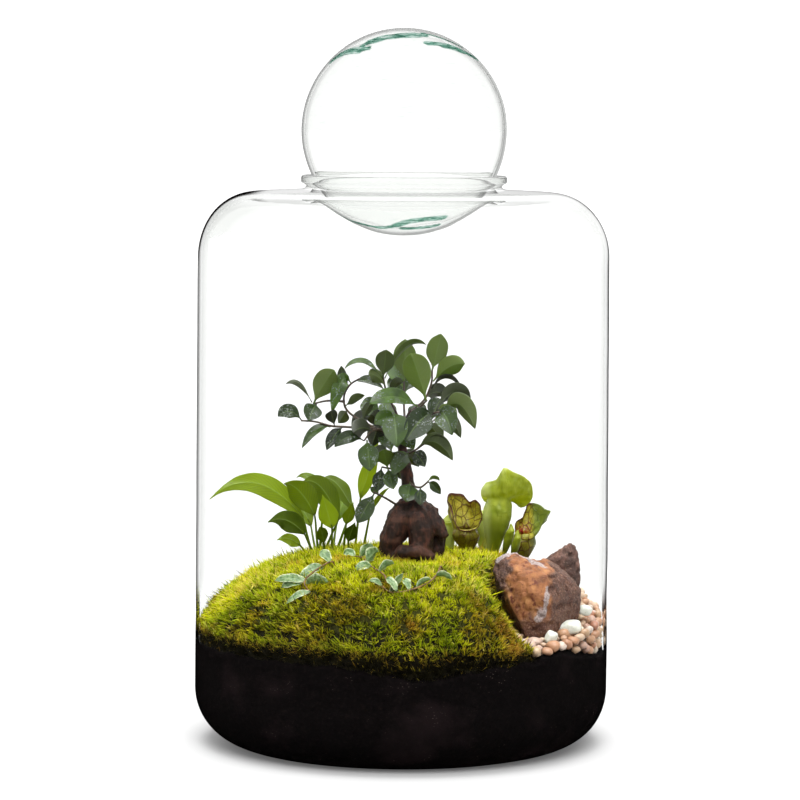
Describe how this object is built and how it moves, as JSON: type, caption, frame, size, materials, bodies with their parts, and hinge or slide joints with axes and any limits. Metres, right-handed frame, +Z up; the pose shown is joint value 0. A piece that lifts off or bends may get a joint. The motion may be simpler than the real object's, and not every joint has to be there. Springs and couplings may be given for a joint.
{
  "type": "glass plant terrarium",
  "caption": "Closed bottle garden: round-cornered glass jar stopped by a hollow glass ball, planted with a mossy mound, bonsai fig, lily, pitcher plants, creeper, stones and pebbles.",
  "frame": {"origin": "centre of the underside of the vessel's flat foot", "axes": "+Z up along the vessel's axis, -Y towards the side that the planting faces, +X to that side's right, where the stones and pebbles lie"},
  "size_m": [0.302, 0.302, 0.5209],
  "materials": {
    "vessel_glass": "clear blown glass, polished",
    "ball_glass": "clear blown glass, greenish where it is thick at the poles",
    "soil": "moist dark potting soil",
    "moss": "feathery sheet moss, bright yellow-green with brown tips",
    "bark": "smooth dark red-brown bark with faint rings",
    "fig_leaf": "glossy leathery dark green leaf, wet",
    "lily_leaf": "satin fresh green leaf",
    "pitcher_leaf": "satin light green trap",
    "pitcher_veined": "satin olive trap with dark red net veins",
    "creeper_leaf": "satin grey-green leaf with cream edge",
    "rust_stone": "rough rust-brown stone with a pale lavender ridge",
    "brown_stone": "rough dark brown stone",
    "gravel": "water-worn cream and peach gravel",
    "quartz": "water-worn white quartz"
  },
  "bodies": {
    "root": {"vessel": "vessel_glass", "ball_lid": "ball_glass", "soil": "soil", "moss": "moss", "gravel": "gravel", "fig_trunk": "bark", "fig_shoot_lower_left": "fig_leaf", "fig_shoot_upper_left": "fig_leaf", "fig_shoot_far_left": "fig_leaf", "fig_shoot_middle_left": "fig_leaf", "fig_shoot_centre_left": "fig_leaf", "fig_shoot_crown_back": "fig_leaf", "fig_shoot_crown_front": "fig_leaf", "fig_shoot_crown_right": "fig_leaf", "fig_shoot_right": "fig_leaf", "fig_shoot_front": "fig_leaf", "fig_shoot_middle_right": "fig_leaf", "fig_shoot_low_left": "fig_leaf", "fig_shoot_left_drop": "fig_leaf", "fig_shoot_low_right": "fig_leaf", "fig_shoot_back_left": "fig_leaf", "fig_shoot_back_right": "fig_leaf", "fig_shoot_back_low": "fig_leaf", "lily_leaf_1": "lily_leaf", "lily_leaf_2": "lily_leaf", "lily_leaf_3": "lily_leaf", "lily_leaf_4": "lily_leaf", "lily_leaf_5": "lily_leaf", "lily_leaf_6": "lily_leaf", "lily_leaf_7": "lily_leaf", "lily_leaf_8": "lily_leaf", "lily_leaf_9": "lily_leaf", "lily_leaf_10": "lily_leaf", "lily_leaf_11": "lily_leaf", "lily_leaf_12": "lily_leaf", "lily_leaf_13": "lily_leaf", "lily_leaf_14": "lily_leaf", "lily_leaf_15": "lily_leaf", "pitcher_tall": "pitcher_leaf", "pitcher_left": "pitcher_veined", "pitcher_behind": "pitcher_leaf", "pitcher_small": "pitcher_leaf", "pitcher_right": "pitcher_veined", "pitcher_young": "pitcher_leaf", "pitcher_younger": "pitcher_leaf", "stone_rust": "rust_stone", "stone_grey": "brown_stone", "creeper_left": "creeper_leaf", "creeper_centre": "creeper_leaf", "creeper_front": "creeper_leaf", "pebble_quartz_large": "quartz", "pebble_quartz_small": "quartz", "pebble_quartz_back": "quartz"}
  },
  "joints": []
}
